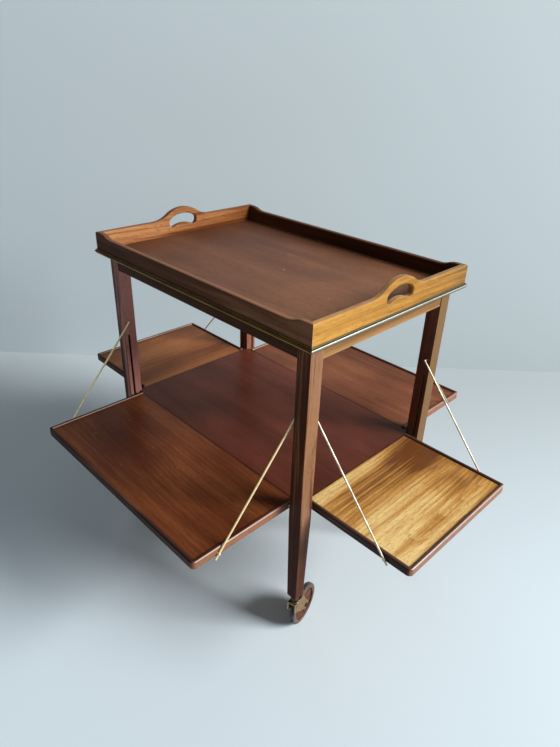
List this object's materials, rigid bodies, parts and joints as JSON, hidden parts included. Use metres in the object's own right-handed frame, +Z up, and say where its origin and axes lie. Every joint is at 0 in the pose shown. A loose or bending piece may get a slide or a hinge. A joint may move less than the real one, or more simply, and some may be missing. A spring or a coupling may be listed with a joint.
{
  "type": "drop leaf tea trolley",
  "caption": "wooden tea trolley on swivel casters with a lift-off gallery tray and a lower shelf whose side leaves drop on sliding pivots and brass stay rods",
  "frame": {"origin": "on the floor under the middle of the trolley", "axes": "+X to the right end, -Y to the front long side, +Z up"},
  "size_m": [1.003, 0.81, 0.73],
  "materials": {
    "frame_wood": "satin polish",
    "hidden_wood": "plain",
    "shelf_wood": "satin polish",
    "tray_floor_wood": "worn polish",
    "tray_end_wood": "satin polish",
    "tray_side_wood": "satin polish",
    "front_leaf_wood": "satin polish",
    "right_leaf_wood": "satin polish",
    "back_leaf_wood": "satin polish",
    "left_leaf_wood": "satin polish",
    "rim_wood": "satin polish",
    "aged_brass": "aged",
    "rod_brass": "worn",
    "caster_brass": "worn",
    "steel": "dull",
    "wheel_wood": "worn",
    "tyre_rubber": "matt"
  },
  "bodies": {
    "frame": {"apron_back": "frame_wood", "apron_front": "frame_wood", "apron_left": "frame_wood", "apron_right": "frame_wood", "caster_sockets": "caster_brass", "edge_moulding_back": "aged_brass", "edge_moulding_front": "aged_brass", "edge_moulding_left": "aged_brass", "edge_moulding_right": "aged_brass", "leg_back_left": "frame_wood", "leg_back_right": "frame_wood", "leg_front_left": "frame_wood", "leg_front_right": "frame_wood", "lower_shelf": "shelf_wood", "top_board": "hidden_wood", "top_fixing_blocks": "hidden_wood", "top_fixing_screws": "steel"},
    "tray": {"tray_end_left": "tray_end_wood", "tray_end_right": "tray_end_wood", "tray_floor": "tray_floor_wood", "tray_panel_pins": "steel", "tray_side_back": "tray_side_wood", "tray_side_front": "tray_side_wood"},
    "back_leaf": {"back_leaf_panel": "back_leaf_wood", "back_leaf_rim": "rim_wood"},
    "back_pivots": {"back_leaf_pivots": "rod_brass"},
    "back_left_caster": {"back_left_caster_axle": "steel", "back_left_caster_fork": "caster_brass"},
    "back_left_wheel": {"back_left_caster_tyre": "tyre_rubber", "back_left_caster_wheel": "wheel_wood"},
    "back_right_caster": {"back_right_caster_axle": "steel", "back_right_caster_fork": "caster_brass"},
    "back_right_wheel": {"back_right_caster_tyre": "tyre_rubber", "back_right_caster_wheel": "wheel_wood"},
    "back_stays": {"back_stay_rod_a": "rod_brass", "back_stay_rod_b": "rod_brass"},
    "front_leaf": {"front_leaf_panel": "front_leaf_wood", "front_leaf_rim": "rim_wood"},
    "front_pivots": {"front_leaf_pivots": "rod_brass"},
    "front_left_caster": {"front_left_caster_axle": "steel", "front_left_caster_fork": "caster_brass"},
    "front_left_wheel": {"front_left_caster_tyre": "tyre_rubber", "front_left_caster_wheel": "wheel_wood"},
    "front_right_caster": {"front_right_caster_axle": "steel", "front_right_caster_fork": "caster_brass"},
    "front_right_wheel": {"front_right_caster_tyre": "tyre_rubber", "front_right_caster_wheel": "wheel_wood"},
    "front_stays": {"front_stay_rod_a": "rod_brass", "front_stay_rod_b": "rod_brass"},
    "left_leaf": {"left_leaf_panel": "left_leaf_wood", "left_leaf_rim": "rim_wood"},
    "left_pivots": {"left_leaf_pivots": "rod_brass"},
    "left_stays": {"left_stay_rod_a": "rod_brass", "left_stay_rod_b": "rod_brass"},
    "right_leaf": {"right_leaf_panel": "right_leaf_wood", "right_leaf_rim": "rim_wood"},
    "right_pivots": {"right_leaf_pivots": "rod_brass"},
    "right_stays": {"right_stay_rod_a": "rod_brass", "right_stay_rod_b": "rod_brass"}
  },
  "joints": [
    {"name": "tray_lift", "type": "slide", "parent": "frame", "child": "tray", "axis": [0, 0, 1], "range_m": [0, 0.25]},
    {"name": "front_pivot_slide", "type": "slide", "parent": "frame", "child": "front_pivots", "axis": [0, 0, 1], "range_m": [0, 0.10334]},
    {"name": "front_leaf_drop", "type": "hinge", "parent": "front_pivots", "child": "front_leaf", "pos_m": [0, -0.187, 0.3185], "axis": [1, 0, 0], "range_deg": [0, 84]},
    {"name": "front_stay_swing", "type": "hinge", "parent": "frame", "child": "front_stays", "pos_m": [0, -0.187, 0.51], "axis": [1, 0, 0], "range_deg": [0, 37.41]},
    {"name": "right_pivot_slide", "type": "slide", "parent": "frame", "child": "right_pivots", "axis": [0, 0, 1], "range_m": [0, 0.10334]},
    {"name": "right_leaf_drop", "type": "hinge", "parent": "right_pivots", "child": "right_leaf", "pos_m": [0.284, 0, 0.3185], "axis": [0, 1, 0], "range_deg": [0, 84]},
    {"name": "right_stay_swing", "type": "hinge", "parent": "frame", "child": "right_stays", "pos_m": [0.284, 0, 0.51], "axis": [0, 1, 0], "range_deg": [0, 37.41]},
    {"name": "back_pivot_slide", "type": "slide", "parent": "frame", "child": "back_pivots", "axis": [0, 0, 1], "range_m": [0, 0.10334]},
    {"name": "back_leaf_drop", "type": "hinge", "parent": "back_pivots", "child": "back_leaf", "pos_m": [0, 0.187, 0.3185], "axis": [-1, 0, 0], "range_deg": [0, 84]},
    {"name": "back_stay_swing", "type": "hinge", "parent": "frame", "child": "back_stays", "pos_m": [0, 0.187, 0.51], "axis": [-1, 0, 0], "range_deg": [0, 37.41]},
    {"name": "left_pivot_slide", "type": "slide", "parent": "frame", "child": "left_pivots", "axis": [0, 0, 1], "range_m": [0, 0.10334]},
    {"name": "left_leaf_drop", "type": "hinge", "parent": "left_pivots", "child": "left_leaf", "pos_m": [-0.284, 0, 0.3185], "axis": [0, -1, 0], "range_deg": [0, 84]},
    {"name": "left_stay_swing", "type": "hinge", "parent": "frame", "child": "left_stays", "pos_m": [-0.284, 0, 0.51], "axis": [0, -1, 0], "range_deg": [0, 37.41]},
    {"name": "front_left_swivel", "type": "hinge", "parent": "frame", "child": "front_left_caster", "pos_m": [-0.2825, -0.1855, 0.105], "axis": [0, 0, 1], "continuous": true},
    {"name": "front_left_roll", "type": "hinge", "parent": "front_left_caster", "child": "front_left_wheel", "pos_m": [-0.265, -0.15519, 0.044], "axis": [-0.866, 0.5, 0], "continuous": true},
    {"name": "front_right_swivel", "type": "hinge", "parent": "frame", "child": "front_right_caster", "pos_m": [0.2825, -0.1855, 0.105], "axis": [0, 0, 1], "continuous": true},
    {"name": "front_right_roll", "type": "hinge", "parent": "front_right_caster", "child": "front_right_wheel", "pos_m": [0.27409, -0.15152, 0.044], "axis": [-0.9707, -0.2402, 0], "continuous": true},
    {"name": "back_right_swivel", "type": "hinge", "parent": "frame", "child": "back_right_caster", "pos_m": [0.2825, 0.1855, 0.105], "axis": [0, 0, 1], "continuous": true},
    {"name": "back_right_roll", "type": "hinge", "parent": "back_right_caster", "child": "back_right_wheel", "pos_m": [0.24961, 0.19747, 0.044], "axis": [-0.342, -0.9397, 0], "continuous": true},
    {"name": "back_left_swivel", "type": "hinge", "parent": "frame", "child": "back_left_caster", "pos_m": [-0.2825, 0.1855, 0.105], "axis": [0, 0, 1], "continuous": true},
    {"name": "back_left_roll", "type": "hinge", "parent": "back_left_caster", "child": "back_left_wheel", "pos_m": [-0.31117, 0.16542, 0.044], "axis": [0.5736, -0.8192, 0], "continuous": true}
  ],
  "couplings": [
    {"joint": "front_pivot_slide", "follows": "front_leaf_drop", "m_per_rad": 0.070147},
    {"joint": "front_stay_swing", "follows": "front_leaf_drop", "ratio": 0.4441},
    {"joint": "right_pivot_slide", "follows": "right_leaf_drop", "m_per_rad": 0.070147},
    {"joint": "right_stay_swing", "follows": "right_leaf_drop", "ratio": 0.4441},
    {"joint": "back_pivot_slide", "follows": "back_leaf_drop", "m_per_rad": 0.070147},
    {"joint": "back_stay_swing", "follows": "back_leaf_drop", "ratio": 0.4441},
    {"joint": "left_pivot_slide", "follows": "left_leaf_drop", "m_per_rad": 0.070147},
    {"joint": "left_stay_swing", "follows": "left_leaf_drop", "ratio": 0.4441}
  ]
}
